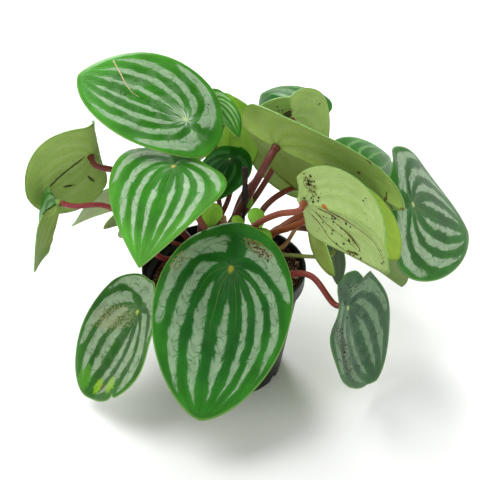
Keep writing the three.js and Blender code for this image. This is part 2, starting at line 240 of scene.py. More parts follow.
class Paint:
    """A node material under construction. Values may be numbers, colours or sockets of other nodes."""

    def __init__(self, name):
        self.material = bpy.data.materials.new(name)
        self.material.use_nodes = True
        self.tree = self.material.node_tree
        self.shader = self.tree.nodes["Principled BSDF"]

    def node(self, kind, settings=None, **values):
        made = self.tree.nodes.new("ShaderNode" + kind)
        for key, value in (settings or {}).items():
            setattr(made, key, value)
        for key, value in values.items():
            self.feed(made.inputs[key.replace("_", " ")], value)
        return made

    def feed(self, socket, value):
        if isinstance(value, bpy.types.NodeSocket):
            self.tree.links.new(value, socket)
        elif isinstance(value, (tuple, list)) and len(value) == 3 and socket.type == "RGBA":
            socket.default_value = (*value, 1)
        else:
            socket.default_value = value

    def math(self, operation, first, second=0.0, third=0.0):
        made = self.node("Math", {"operation": operation})
        for socket, value in zip(made.inputs, (first, second, third)):
            self.feed(socket, value)
        return made.outputs[0]

    def add(self, *values):
        return functools.reduce(lambda a, b: self.math("ADD", a, b), values)

    def times(self, *values):
        return functools.reduce(lambda a, b: self.math("MULTIPLY", a, b), values)

    def scale(self, value, low, high, to_low, to_high, kind="LINEAR"):
        """Maps the range low to high on to_low to to_high, which also hold beyond it."""
        made = self.node("MapRange", {"interpolation_type": kind, "clamp": True})
        inputs = ("Value", "From Min", "From Max", "To Min", "To Max")
        for key, number in zip(inputs, (value, low, high, to_low, to_high)):
            self.feed(made.inputs[key], number)
        return made.outputs["Result"]

    def step(self, value, low, high):
        """0 below low and 1 above high, smooth between; falls instead where low is above high."""
        ends = (1.0, 0.0) if low > high else (0.0, 1.0)
        return self.scale(value, min(low, high), max(low, high), *ends, "SMOOTHSTEP")

    def mix(self, share, first, second):
        made = self.node("Mix", {"data_type": "RGBA"})
        self.feed(made.inputs["Factor"], share)
        self.feed(made.inputs[6], first)
        self.feed(made.inputs[7], second)
        return made.outputs[2]

    def stain(self, color, share, strength, code):
        """The colour, taken by strength towards another where share is 1."""
        return self.mix(self.times(share, strength), color, rgb(code))

    def shade(self, color, factor):
        return self.node("VectorMath", {"operation": "SCALE"}, Vector=color, Scale=factor).outputs[0]

    def length(self, vector):
        return self.node("VectorMath", {"operation": "LENGTH"}, Vector=vector).outputs["Value"]

    def noise(self, where, scale, detail=2.0, rough=0.5, stretch=None):
        if stretch:
            where = self.node("Mapping", Vector=where, Scale=stretch).outputs[0]
        return self.node("TexNoise", Vector=where, Scale=scale, Detail=detail, Roughness=rough).outputs["Fac"]

    def cells(self, where, scale):
        return self.node("TexVoronoi", Vector=where, Scale=scale).outputs["Distance"]

    def object_place(self):
        return self.node("TexCoord").outputs["Object"]

    def map_place(self, name):
        return self.node("UVMap", {"uv_map": name}).outputs[0]

    def bump(self, height, distance, strength, below=None):
        values = dict(Height=height, Distance=distance, Strength=strength)
        if below is not None:
            values["Normal"] = below
        return self.node("Bump", **values).outputs[0]

    def blotch(self, color, flat, u, v, long, wide, code, turn=0, ragged=0.6, share=1.0, fine=0.5):
        """Lays a ragged patch over a leaf's colour: u and v are its place and long and wide its half sizes
        in millimetres on the flat leaf. A higher fine leaves fewer speckles of it."""
        spot = self.node("Mapping", {"vector_type": "TEXTURE"}, Vector=flat)
        spot.inputs["Location"].default_value = (u / MAP_UNIT, v / MAP_UNIT, 0)
        spot.inputs["Rotation"].default_value = (0, 0, radians(turn))
        spot.inputs["Scale"].default_value = (long / MAP_UNIT, wide / MAP_UNIT, 1)
        rough = self.times(self.add(self.noise(flat, 40, 4, 0.7), -0.5), 2 * ragged)
        inside = self.step(self.add(self.length(spot.outputs[0]), rough), 1.08, 0.82)
        speckle = self.step(self.noise(flat, 75, 3, 0.7), fine * 0.5, fine * 0.5 + 0.08)
        return self.stain(color, self.times(inside, speckle), share, code)

    def finish(self, color, roughness, normal=None, **others):
        self.feed(self.shader.inputs["Base Color"], color)
        self.feed(self.shader.inputs["Roughness"], roughness)
        if normal is not None:
            self.feed(self.shader.inputs["Normal"], normal)
        for key, value in others.items():
            self.feed(self.shader.inputs[key.replace("_", " ")], value)
        return self.material


def rgb(code):
    """A linear colour from a hex code such as "3d8a3a"."""
    parts = [int(code[i : i + 2], 16) / 255 for i in (0, 2, 4)]
    return tuple(p / 12.92 if p <= 0.04045 else ((p + 0.055) / 1.055) ** 2.4 for p in parts)


VEIN_CURVE = 1.2  # how firmly the main veins curve towards the tip
VEIN_HUG = 0.2  # how far those near the margin follow it


def vein_lines(p, look):
    """A leaf's flat place, the share of the way out, the way a place's vein left the stalk (0 to the tip,
    1 straight back), the vein's number, 0 on a main vein to 1 midway between two, and how far the tip is."""
    flat = p.map_place("flat")
    split = p.node("SeparateXYZ", Vector=p.map_place("disc"))
    x, y = split.outputs[0], split.outputs[1]
    reach = p.length(p.map_place("disc"))
    ahead = p.math("SUBTRACT", 1.0, x)
    middle = p.times(p.math("MAXIMUM", p.times(x, ahead), 0.0), -4 * look["bow"])
    y = p.math("ABSOLUTE", p.add(y, middle))
    tip = p.math("SQRT", p.add(p.times(ahead, ahead), p.times(y, y)))
    hug = p.times(reach, y, VEIN_HUG * pi)
    turn = p.times(p.math("ARCTAN2", y, ahead), VEIN_CURVE)
    way = p.times(p.add(p.math("ARCTAN2", y, x), turn, hug), 1 / pi)
    way = p.add(way, p.times(p.add(p.noise(flat, 7, 2), -0.5), reach, 0.10))
    number = p.times(p.math("MAXIMUM", way, 0.0), look["bands"])
    return flat, reach, way, number, p.times(p.math("PINGPONG", number, 0.5), 2), tip


def side_veins(p, flat, number, line, spacing):
    """Cells between the side veins: distance from their edges, and a random number of each cell."""
    along = p.times(p.length(flat), MAP_UNIT / spacing)
    along = p.add(along, p.times(line, -1.3), p.times(p.noise(flat, 16, 2), 1.5))
    sideways = p.add(p.times(number, 1.5), p.times(p.noise(flat, 30, 2), 0.5))
    spot = p.node("CombineXYZ", X=sideways, Y=along).outputs[0]
    flat_cells = {"voronoi_dimensions": "2D", "feature": "DISTANCE_TO_EDGE"}
    edge = p.node("TexVoronoi", flat_cells, Vector=spot, Scale=1).outputs["Distance"]
    pick = p.node("TexVoronoi", {"voronoi_dimensions": "2D"}, Vector=spot, Scale=1).outputs["Color"]
    return edge, p.node("SeparateXYZ", Vector=pick).outputs[0]


def upper_side(name, look):
    """The striped upper side: dark bands along the main veins, silver between them cut by side veins."""
    p = Paint(name)
    flat, reach, way, number, line, tip = vein_lines(p, look)
    edge, pick = side_veins(p, flat, number, line, look["net"])
    grain = p.add(p.noise(flat, 160, 3, 0.6), -0.5)
    cloud = p.noise(flat, 5, 3)
    back = p.step(way, 0.55, 0.95)
    # The silver opens away from the stalk, later at the back, and closes before the margin.
    inner = p.step(p.add(reach, p.times(back, -0.12)), look["start"] * 0.5, look["start"] + 0.2)
    outer = p.math("MINIMUM", p.step(reach, 0.99, 0.84), p.step(tip, 0.06, 0.34))
    room = p.math("MINIMUM", inner, outer)
    width = p.scale(way, 0.08, 0.34, look["width"] * 0.82, look["width"] * 1.15)
    width = p.add(width, p.times(back, look["back"]))
    width = p.times(width, p.times(room, p.scale(cloud, 0.3, 0.7, 0.85, 1.12)))
    ragged = p.add(p.times(p.add(pick, -0.5), 0.22), p.times(grain, 0.5))
    inside = p.add(line, ragged, width, -1)
    silver = p.times(p.step(inside, -0.05, 0.16), p.step(reach, 0.985, 0.95), p.step(room, 0.05, 0.3))
    cut = p.step(p.add(edge, p.times(line, 0.10)), 0.17, 0.08)
    cut = p.times(cut, p.step(p.noise(flat, 17, 2), 0.36, 0.56))
    silver = p.times(silver, p.add(1, p.times(cut, -0.75)))
    mist = p.times(p.step(p.add(p.noise(flat, 8, 4, 0.6), p.times(grain, 0.5)), 0.42, 0.7), look["mist"])
    silver = p.math("MAXIMUM", p.times(silver, look["bright"]), p.times(mist, p.step(reach, 0.95, 0.6)))
    # Green: darkest along the main veins, lighter and warmer towards the margin.
    green = p.mix(p.step(reach, 0.6, 1.0), rgb(look["dark"]), rgb(look["edge"]))
    tone = p.scale(p.add(cloud, p.times(grain, 0.35)), 0.3, 0.7, 0.72, 1.25)
    tone = p.times(tone, p.scale(line, 0.0, 0.5, 0.88, 1.06))
    shine = p.scale(p.add(p.noise(flat, 12, 4, 0.6), p.times(grain, 0.5)), 0.3, 0.75, 0.78, 1.18)
    color = p.mix(silver, p.shade(green, tone), p.shade(rgb(look["silver"]), shine))
    vein = p.times(p.step(line, 0.10, 0.0), p.step(reach, look["veins"], 0.05), p.step(way, 0.75, 0.55))
    color = p.stain(color, vein, 0.5, "6fa53c")
    rays = p.noise(p.node("CombineXYZ", X=p.times(way, 16), Y=p.times(reach, 2)).outputs[0], 1.6, 2, 0.7)
    rays = p.times(p.step(rays, 0.42, 0.58), p.step(reach, 0.26, 0.03))
    color = p.stain(color, rays, look["burst"], "c9dcc4")
    color = p.mix(p.step(p.add(reach, p.times(grain, 0.02)), 0.055, 0.02), color, rgb(look["glow"]))
    color = p.stain(color, p.step(reach, 0.975, 0.998), 0.75, "7fae55")
    for mark in look["marks"]:
        color = p.blotch(color, flat, **mark)
    normal = p.bump(grain, 0.00008, 0.3)
    normal = p.bump(p.step(edge, 0.2, 0.0), -0.00012, 0.4, normal)
    rough = p.add(p.scale(p.noise(flat, 30, 2), 0.3, 0.7, 0.30, 0.42), p.times(silver, 0.06))
    return p.finish(color, rough, normal, Specular_IOR_Level=0.08)


def under_side(name, look):
    """The plain pale underside, with raised veins a little darker and fine dark flecks."""
    p = Paint(name)
    flat, reach, _, number, line, _ = vein_lines(p, look)
    edge, _ = side_veins(p, flat, number, line, look["net"])
    tone = p.scale(p.noise(flat, 4, 4, 0.6), 0.3, 0.7, 0.0, 1.0)
    color = p.mix(tone, rgb(look["under"]), rgb(look["shade"]))
    between = p.times(p.step(line, 0.3, 0.9), p.step(reach, 1.0, 0.6))
    color = p.stain(color, between, 0.10, "cfdcae")
    vein = p.times(p.step(line, 0.12, 0.0), p.step(reach, 0.9, 0.2))
    color = p.stain(color, vein, 0.22, "6f8a3e")
    # A faint net of side veins, and dark flecks along it.
    color = p.stain(color, p.step(edge, 0.07, 0.0), 0.14, "5f7a35")
    flecks = p.step(p.noise(flat, 26, 3, 0.6, stretch=(1, 3.5, 1)), 0.64, 0.72)
    color = p.stain(color, flecks, look["flecks"], "4f4c22")
    color = p.stain(color, p.step(reach, 0.965, 0.995), 0.5, "6f8a3c")
    color = p.stain(color, p.step(reach, 0.05, 0.02), 0.5, "8a5a35")
    for mark in look["under_marks"]:
        color = p.blotch(color, flat, **mark)
    normal = p.bump(p.noise(flat, 120, 3), 0.00012, 0.5)
    normal = p.bump(p.noise(flat, 9, 2), 0.0012, 0.5, normal)
    normal = p.bump(p.step(edge, 0.12, 0.0), 0.0002, 0.5, normal)
    rough = p.scale(p.noise(flat, 25, 2), 0.3, 0.7, 0.46, 0.60)
    return p.finish(color, rough, normal, Specular_IOR_Level=0.1)


def stalk_paint(name, color_code, tip_code):
    """A fleshy stalk: its colour streaked along it, turning to the other colour in patches."""
    p = Paint(name)
    place = p.object_place()
    streak = p.noise(p.map_place("flat"), 6, 3, 0.6, stretch=(14, 1, 1))
    patch = p.noise(place, 55, 2)
    share = p.step(p.add(p.times(streak, 0.6), p.times(patch, 0.5)), 0.42, 0.72)
    color = p.mix(share, rgb(color_code), rgb(tip_code))
    specks = p.step(p.noise(place, 900, 1), 0.62, 0.72)
    color = p.stain(color, specks, 0.35, "c98a6a")
    normal = p.bump(p.noise(place, 700, 3), 0.0002, 0.5)
    return p.finish(color, 0.42, normal, Specular_IOR_Level=0.5)


def soil_paint(name):
    p = Paint(name)
    place = p.object_place()
    rough = p.noise(place, 420, 5, 0.7)
    color = p.mix(p.step(rough, 0.30, 0.74), rgb("120b07"), rgb("7a563c"))
    fibres = p.noise(place, 260, 3, 0.6, stretch=(1, 4, 1))
    color = p.stain(color, p.step(fibres, 0.58, 0.68), 0.75, "97704a")
    fibres = p.noise(place, 330, 3, 0.6, stretch=(4, 1, 1))
    color = p.stain(color, p.step(fibres, 0.62, 0.70), 0.6, "7d5c3e")
    grit = p.math("LESS_THAN", p.cells(place, 420), 0.17)
    color = p.stain(color, grit, 0.7, "b8a27e")
    normal = p.bump(rough, 0.0012, 1.0)
    normal = p.bump(p.cells(place, 800), 0.0006, 0.8, normal)
    return p.finish(color, 0.95, normal, Specular_IOR_Level=0.2)


def plain_paint(name, low, high, scale, roughness, bump_mm):
    """Two colours mixed by noise, with a bump of a finer noise."""
    p = Paint(name)
    place = p.object_place()
    color = p.mix(p.step(p.noise(place, scale, 3), 0.35, 0.65), rgb(low), rgb(high))
    normal = p.bump(p.noise(place, scale * 4, 3), bump_mm * MM, 0.7)
    return p.finish(color, roughness, normal, Specular_IOR_Level=0.5)


# -------- meshes


def new_mesh(name, points, faces):
    """A mesh from points in millimetres."""
    mesh = bpy.data.meshes.new(name)
    mesh.from_pydata((np.asarray(points) * MM).tolist(), [], [list(map(int, f)) for f in faces])
    return mesh


def make_piece(name, points, faces, paints, slot, indices=None, maps=None, smooth=True):
    """A piece of the scene on the part's one body, from points in millimetres."""
    mesh = new_mesh(name, points, faces)
    for paint in paints:
        mesh.materials.append(paint)
    if indices is not None:
        mesh.polygons.foreach_set("material_index", np.asarray(indices, dtype=np.int32))
    mesh.polygons.foreach_set("use_smooth", np.full(len(mesh.polygons), smooth))
    for key, values in (maps or {}).items():
        layer = mesh.uv_layers.new(name=key)
        layer.data.foreach_set("uv", np.asarray(values, dtype=np.float32).ravel())
    mesh.validate()
    mesh.update()
    piece = put(name, mesh)
    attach(piece, "root")
    return piece


def leaf_axes(leaf):
    """Unit vectors along the leaf, across it, and out of its upper side."""
    h, p, r = (radians(leaf[key]) for key in ("heading", "pitch", "roll"))
    along = np.array([cos(p) * cos(h), cos(p) * sin(h), sin(p)])
    level = np.array([-sin(h), cos(h), 0.0])
    above = np.cross(along, level)
    across = level * cos(r) + above * sin(r)
    up = above * cos(r) - level * sin(r)
    return along, across, up


def leaf_point(leaf, u, v, lift=0.0):
    """Points of the leaf's middle surface from their places on the flat leaf, raised by lift out of it."""
    along, across, up = leaf_axes(leaf)
    ahead = (1 - leaf["attach"]) * leaf["length"]
    behind = leaf["attach"] * leaf["length"]
    droop = radians(leaf["droop"]) / ahead or FLAT
    tuck = radians(leaf["tuck"]) / behind or FLAT
    bend = np.where(u >= 0, droop, tuck)
    side = v + np.where(u >= 0, leaf["sway"] * (u / ahead) ** 2, 0)
    roll = radians(leaf["cup"]) * 2 / leaf["width"] or FLAT
    out = np.sin(roll * np.abs(side)) / roll
    down = -(1 - np.cos(roll * np.abs(side))) / roll
    fold = radians(leaf["fold"])
    y = np.sign(side) * (out * cos(fold) - down * sin(fold))
    z = out * sin(fold) + down * cos(fold)
    twist = radians(leaf["twist"]) * u / ahead
    y, z = y * np.cos(twist) - z * np.sin(twist), y * np.sin(twist) + z * np.cos(twist)
    z = z + lift
    turn = bend * u
    x = np.sin(turn) / bend + z * np.sin(turn)
    z = -(1 - np.cos(turn)) / bend + z * np.cos(turn)
    return np.asarray(leaf["at"]) + x[..., None] * along + y[..., None] * across + z[..., None] * up


def outline(leaf, t):
    """The flat leaf's outline at t, from 0 at the base over 1 at the tip to 2 at the base again."""
    s = (1 - np.cos(pi * t)) / 2
    widest = 0.5 / (0.5 + leaf["taper"])
    peak = sqrt(widest) * (1 - widest) ** leaf["taper"]
    shape = np.sqrt(s) * np.clip(1 - s, 0, 1) ** leaf["taper"]
    v = np.where(t < 1, 1, -1) * leaf["width"] / 2 * shape / peak
    v = np.where(np.isclose(t, 1) | np.isclose(t % 2, 0), 0, v)
    return (s - leaf["attach"]) * leaf["length"], v


SECTORS, RINGS = 128, 16
SMALL = 60  # a leaf shorter than this has the smaller numbers
SMALL_SECTORS, SMALL_RINGS = 80, 10
# On a leaf of 100 mm, in millimetres:
QUILT = 0.5  # how far the silver parts stand over the veins
UNDER_VEIN = 0.35  # how far a main vein stands out of the underside
WAVE = 1.3  # how far the margin's waves reach, for a wave of 1


class Blade:
    """A leaf's flat outline, relief and place in space."""

    def __init__(self, leaf, sectors, seed):
        self.leaf = leaf
        draw = random.Random(seed)
        self.waves = [(draw.uniform(2, 6), draw.uniform(0, 6.3), draw.uniform(0.15, 0.5)) for _ in range(4)]
        t = np.arange(sectors) * 2 / sectors
        self.edge_u, self.edge_v = outline(leaf, t)
        for start, reach, depth in leaf["bites"]:
            dent = 1 - depth * np.clip(1 - np.abs(t - start) / reach, 0, 1) ** 0.7
            self.edge_u, self.edge_v = self.edge_u * dent, self.edge_v * dent
        self.angle = np.arctan2(self.edge_v, self.edge_u) / pi
        self.size = leaf["length"] / 100

    def phase(self, angle, reach):
        """0 on a main vein, 1 midway between two, from the direction (0 tip, 1 or -1 base) and reach."""
        x, y = reach * np.cos(pi * angle), reach * np.sin(pi * angle)
        y = np.abs(y - 4 * self.leaf["bow"] * np.maximum(x * (1 - x), 0))
        way = np.arctan2(y, x) + VEIN_CURVE * np.arctan2(y, 1 - x) + VEIN_HUG * pi * reach * y
        number = self.leaf["bands"] * way / pi
        return np.abs((number + 0.5) % 1 - 0.5) * 2

    def lift(self, angle, reach):
        """Height of the blade's middle over the smooth leaf: quilted between veins, waved at the margin."""
        quilt = QUILT * self.size * (self.phase(angle, reach) ** 0.8 - 0.55)
        quilt = quilt * np.sin(pi * np.clip(reach, 0, 1) ** 0.8)
        wave = sum(a * np.sin(f * pi * angle + s) for f, s, a in self.waves)
        return quilt + wave * self.size * WAVE * reach**3

    def surface(self, u, v, angle, reach, side, above=0.0):
        """Points of the upper (side 1) or under face (side -1), and of places above them."""
        half = BLADE_MIDDLE + (BLADE_MARGIN - BLADE_MIDDLE) * reach**3
        if side < 0:
            vein = np.clip(1 - self.phase(angle, reach) / 0.16, 0, 1) * np.clip(1.15 - reach, 0, 1)
            half = half + UNDER_VEIN * self.size * vein
        return leaf_point(self.leaf, u, v, self.lift(angle, reach) + side * (half + above))

    def reach(self, u, v):
        """The share of the way from the stalk to the margin, for a place on the flat leaf."""
        order = np.argsort(self.angle)
        radius = np.hypot(self.edge_u, self.edge_v)[order]
        angle = atan2(v, u) / pi
        return hypot(u, v) / np.interp(angle, self.angle[order], radius, period=2)

    def place(self, u, v, side, above=0.0):
        """A point on a face from its place on the flat leaf in millimetres."""
        angle, reach = np.array([atan2(v, u) / pi]), np.array([self.reach(u, v)])
        return self.surface(np.array([u]), np.array([v]), angle, reach, side, above)[0]


def make_leaf(name, leaf, paints, node, sectors, rings, seed):
    """A blade with quilted faces and a gently waved margin; its paints are upper, under and margin."""
    blade = Blade(leaf, sectors, seed)
    angle = blade.angle
    share = (np.arange(1, rings + 1) / rings) ** 0.9
    u = share[:, None] * blade.edge_u[None, :]
    v = share[:, None] * blade.edge_v[None, :]
    reach = np.broadcast_to(share[:, None], u.shape)
    turn = np.broadcast_to(angle[None, :], u.shape)
    points = []
    for side in (1, -1):
        points.append(leaf_point(leaf, np.zeros(1), np.zeros(1), np.array([side * BLADE_MIDDLE])))
        points.append(blade.surface(u, v, turn, reach, side).reshape(-1, 3))
    points = np.concatenate(points)
    count = len(points) // 2
    spots = np.concatenate([np.zeros((1, 2)), np.stack([u.ravel(), v.ravel()], 1)]) / MAP_UNIT
    disc = np.stack([reach * np.cos(pi * turn), reach * np.sin(pi * turn)], -1).reshape(-1, 2)
    disc = np.concatenate([np.zeros((1, 2)), disc])
    faces, indices, corners = [], [], []

    def add_face(places, material):
        """A face over places of the grid: of the upper side (material 0) or the under side (1)."""
        order = places if material else places[::-1]
        faces.append([place + material * count for place in order])
        indices.append(material)
        corners.extend(order)

    for i in range(sectors):
        n = (i + 1) % sectors
        for material in (0, 1):
            add_face([0, 1 + i, 1 + n], material)
            for k in range(rings - 1):
                a, b = 1 + k * sectors + i, 1 + k * sectors + n
                add_face([a, a + sectors, b + sectors, b], material)
        a, b = 1 + (rings - 1) * sectors + i, 1 + (rings - 1) * sectors + n
        faces.append([a, b, b + count, a + count])
        indices.append(2)
        corners.extend([a, b, b, a])
    maps = {"flat": spots[corners], "disc": disc[corners]}
    piece = make_piece(name, points, faces, paints, leaf["slot"], indices, maps)
    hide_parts(node)
    return blade


def catmull(points, steps):
    """Points along the centripetal Catmull-Rom curve through the given ones, even in each span."""
    points = [np.asarray(p, float) for p in points]
    points = [2 * points[0] - points[1], *points, 2 * points[-1] - points[-2]]
    line = []
    for a, b, c, d in zip(points, points[1:], points[2:], points[3:]):
        ta, tb, tc = (max(np.linalg.norm(q - p), 1e-6) ** 0.5 for p, q in ((a, b), (b, c), (c, d)))
        m1 = (b - a) / ta - (c - a) / (ta + tb) + (c - b) / tb
        m2 = (c - b) / tb - (d - b) / (tb + tc) + (d - c) / tc
        m1, m2 = m1 * tb, m2 * tb
        for t in np.arange(steps) / steps:
            line.append(
                (2 * t**3 - 3 * t**2 + 1) * b
                + (t**3 - 2 * t**2 + t) * m1
                + (3 * t**2 - 2 * t**3) * c
                + (t**3 - t**2) * m2
            )
    line.append(points[-2])
    return np.array(line)


def hub_faces(sides, rows):
    """Faces over points that run: one hub, rows of so many sides, and the other hub."""
    faces = []
    end = 1 + (rows - 1) * sides
    for i in range(sides):
        n = (i + 1) % sides
        faces.append([0, 1 + n, 1 + i])
        for k in range(rows - 1):
            a, b = 1 + k * sides + i, 1 + k * sides + n
            faces.append([a, b, b + sides, a + sides])
        faces.append([end + i, end + n, end + sides])
    return faces


MAP_LENGTH = 20  # millimetres along a tube for 1 in its map
STALK_SIDES, STALK_STEPS = 14, 10
MARK_SIDES, MARK_STEPS = 6, 8
POT_SIDES, HOLE_SIDES = 144, 40
SAG = 1.2  # how far the soil drops where it meets the pot


def make_tube(name, line, radii, paint, node, sides, slot, wobble, seed):
    """A closed, slightly uneven tube along a line of points with a radius at each."""
    draw = random.Random(seed)
    tangent = np.gradient(line, axis=0)
    tangent /= np.linalg.norm(tangent, axis=1)[:, None]
    side = np.cross(tangent[0], [0.3, 0.2, 0.9])
    along = [0, *np.cumsum(np.linalg.norm(np.diff(line, axis=0), axis=1)) / MAP_LENGTH]
    points = []
    for place, way, radius in zip(line, tangent, radii):
        side = side - way * np.dot(side, way)
        side /= np.linalg.norm(side)
        other = np.cross(way, side)
        for i in range(sides):
            a = 2 * pi * i / sides
            r = radius * (1 + draw.uniform(-wobble, wobble))
            points.append(place + r * (cos(a) * side + sin(a) * other))
    first, last = (line[end] + tangent[end] * out * radii[end] for end, out in ((0, -0.3), (-1, 0.3)))
    flat = []
    for i in range(sides):
        left, right = i / sides, (i + 1) / sides
        flat += [(left, 0)] * 3
        for low, high in zip(along, along[1:]):
            flat += [(left, low), (right, low), (right, high), (left, high)]
        flat += [(left, along[-1])] * 3
    faces = hub_faces(sides, len(line))
    piece = make_piece(name, [first, *points, last], faces, [paint], slot, maps={"flat": flat})
    if node:
        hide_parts(node)


def stalk_line(stem, points):
    """The line of a stalk, from inside its stem's knob through its points."""
    knob = np.array([*STEMS[stem], STEM["height"]], float)
    aim = np.asarray(points[0], float) - knob
    aim /= np.linalg.norm(aim)
    root = knob + aim * (STEM["knob"] + GAP)
    return catmull([root - aim * 2, root, root + aim * 4, *points], STALK_STEPS)


def make_stalk(name, leaf, paint, node, slot, seed):
    """A leaf's stalk, a little thicker at its root and where it joins the blade."""
    up = leaf_axes(leaf)[2]
    top = np.asarray(leaf["at"]) - up * (BLADE_MIDDLE + 0.1)
    line = stalk_line(leaf["stem"], [*leaf["via"], top - up * STALK_NECK, top])
    share = np.linspace(0, 1, len(line))
    radii = leaf["stalk"] / 2 * (1.10 - 0.16 * share + 0.10 * np.exp(-share * 14))
    radii = radii * (1 + 0.28 * np.exp(-((1 - share) * 22) ** 2))
    make_tube(name, line, radii, paint, node, STALK_SIDES, slot, 0.012, seed)


def ring(radius, height, sides):
    """Points round the Z axis; radius and height may be one number or one for each point."""
    a = np.arange(sides) * 2 * pi / sides
    return np.stack(np.broadcast_arrays(radius * np.cos(a), radius * np.sin(a), height), 1)


def lathe(profile, sides):
    """Points and faces turned about Z from (radius, height) pairs that start and end on the axis."""
    rings = [ring(r, z, sides) for r, z in profile[1:-1]]
    points = np.concatenate([[(0, 0, profile[0][1])], *rings, [(0, 0, profile[-1][1])]])
    return points, hub_faces(sides, len(rings))


def wall_radius(z):
    """The pot's outer radius at a height below its rim."""
    return POT["base"] + (POT["neck"] - POT["base"]) * z / (POT["height"] - POT["rim_height"])


def make_pot(paint):
    """A thin thermoformed pot: rolled rim, shoulder, tapering wall and drain holes in the bottom corner."""
    height, base, neck, rim = POT["height"], POT["base"], POT["neck"], POT["rim"]
    wall, floor = POT["wall"], POT["floor"]
    shoulder = height - POT["rim_height"]
    # Up the outside, over the rim, and down the inside.
    line = [(0, 0), (base - 9, 0), (base - 1.2, 0), (base - 0.4, 0.3), (base, 1)]
    line += [(wall_radius(z), z) for z in (1 + (shoulder - 1) * k / 22 for k in range(1, 22))]
    line += [(neck, shoulder - 0.4), (neck + 0.4, shoulder), (rim - 1.2, shoulder)]
    line += [(rim - 0.7, shoulder + 0.6), (rim - 0.5, shoulder + 3), (rim - 0.25, height - 2.2)]
    line += [(rim, height - 1.6), (rim, height - 0.6), (rim - 0.3, height - 0.1), (rim - 0.8, height)]
    line += [(rim - wall, height - 0.1), (rim - wall - 0.3, height - 0.8)]
    line += [(rim - wall - 0.9, shoulder + 2.2), (neck - wall, shoulder)]
    inside = (shoulder + (floor - shoulder) * k / 8 for k in range(1, 9))
    line += [(wall_radius(z) - wall, z) for z in inside] + [(0, floor)]
    pot = make_piece("pot_shell", *lathe(line, POT_SIDES), [paint], "pot")
    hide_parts("pot")
    # Each hole's cutter leans outwards by 45 degrees, then turns to its place round the base.
    lean, radius = pi / 4, DRAIN["radius"]
    hole, hole_faces = lathe([(0, -4), (radius, -4), (radius, 8), (0, 8)], HOLE_SIDES)
    x, y, z = hole.T
    out = x * cos(lean) + z * sin(lean) + DRAIN["reach"]
    z = z * cos(lean) - x * sin(lean)
    points, faces = [], []
    for i in range(DRAIN["count"]):
        turn = (i + 0.5) / DRAIN["count"] * 2 * pi
        ahead, aside = cos(turn), sin(turn)
        points.append(np.stack([out * ahead - y * aside, out * aside + y * ahead, z], 1))
        faces += [[i * len(hole) + j for j in face] for face in hole_faces]
    cutter = put("cutter", new_mesh("cutter", np.concatenate(points), faces))
    cut = pot.modifiers.new("holes", "BOOLEAN")
    cut.operation, cut.solver, cut.object = "DIFFERENCE", "EXACT", cutter
    graph = bpy.context.evaluated_depsgraph_get()
    finished = bpy.data.meshes.new_from_object(pot.evaluated_get(graph))
    pot.modifiers.clear()
    pot.data = finished
    bpy.data.objects.remove(cutter)
    pot.data.polygons.foreach_set("use_smooth", np.full(len(pot.data.polygons), True))
    pot.data.set_sharp_from_angle(angle=radians(35))


def soil_top(x, y):
    """Height of the soil's uneven top, heaped towards +X, as in the CAD."""
    s = np.clip((x - SOIL["heap_from"]) / (SOIL["heap_to"] - SOIL["heap_from"]), 0, 1)
    slope = s * s * (3 - 2 * s)
    lumps = np.sin(x * 0.31 + 1.2) * np.cos(y * 0.27)
    lumps = lumps + 0.6 * np.sin(x * 0.73 + y * 0.51) + 0.5 * np.cos(y * 0.83 - x * 0.37)
    return SOIL["level"] + SOIL["heap"] * slope + SOIL["lump"] * lumps


def fine_lumps(x, y):
    """Small crumbly relief on the soil's top, from crossed waves of several sizes."""
    total = 0
    for k, (scale, size) in enumerate(((1.1, 0.45), (1.9, 0.3), (3.1, 0.2), (4.7, 0.14))):
        turn = 0.9 * k + 0.4
        a = x * cos(turn) + y * sin(turn)
        b = y * cos(turn) - x * sin(turn)
        total = total + size * np.sin(a * scale + 1.7 * k) * np.sin(b * scale * 1.13 + 0.6 * k)
    return total


def make_soil(paint):
    """The soil: a plain foot and wall under a crumbly top that drops where it meets the pot."""
    sides, rings = 160, 56
    bottom = POT["floor"] + GAP
    edge = wall_radius(SOIL["level"] - 3) - POT["wall"] - SOIL_GAP
    foot = wall_radius(bottom) - POT["wall"] - SOIL_GAP
    rows = [ring(foot, bottom, sides)]
    for k in range(rings, 0, -1):
        row = ring(edge * k / rings, 0, sides)
        x, y = row[:, 0], row[:, 1]
        row[:, 2] = soil_top(x, y) + fine_lumps(x, y) - (SAG if k == rings else 0)
        rows.append(row)
    points = np.concatenate([[[0, 0, bottom]], *rows, [[0, 0, soil_top(0, 0)]]])
    soil = make_piece("soil_bed", points, hub_faces(sides, len(rows)), [paint], "soil")
    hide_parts("soil")


def chunk(draw, size):
    """An angular crumb: the corners of a rough octahedron and the middles of its faces, pushed about."""
    base = [(1, 0, 0), (-1, 0, 0), (0, 1, 0), (0, -1, 0), (0, 0, 1), (0, 0, -1)]
    base += itertools.product((0.6, -0.6), repeat=3)
    stretch = [draw.uniform(0.6, 1.3) for _ in range(3)]
    corners = [[size * c * s * draw.uniform(0.75, 1.15) for c, s in zip(corner, stretch)] for corner in base]
    faces = []
    for middle, (x, y, z) in enumerate(itertools.product((0, 1), repeat=3), 6):
        for p, q in ((x, 2 + y), (2 + y, 4 + z), (4 + z, x)):
            faces.append([q, p, middle] if (x + y + z) % 2 else [p, q, middle])
    return corners, faces


def make_crumbs(name, places, sizes, paint, seed, slot):
    """Many crumbs, each at its place in millimetres, joined in one piece."""
    draw = random.Random(seed)
    points, faces = [], []
    for place, size in zip(places, sizes):
        corners, small = chunk(draw, size)
        faces += [[len(points) + j for j in face] for face in small]
        points += (np.array(corners) + place).tolist()
    make_piece(name, points, faces, [paint], slot, smooth=False)


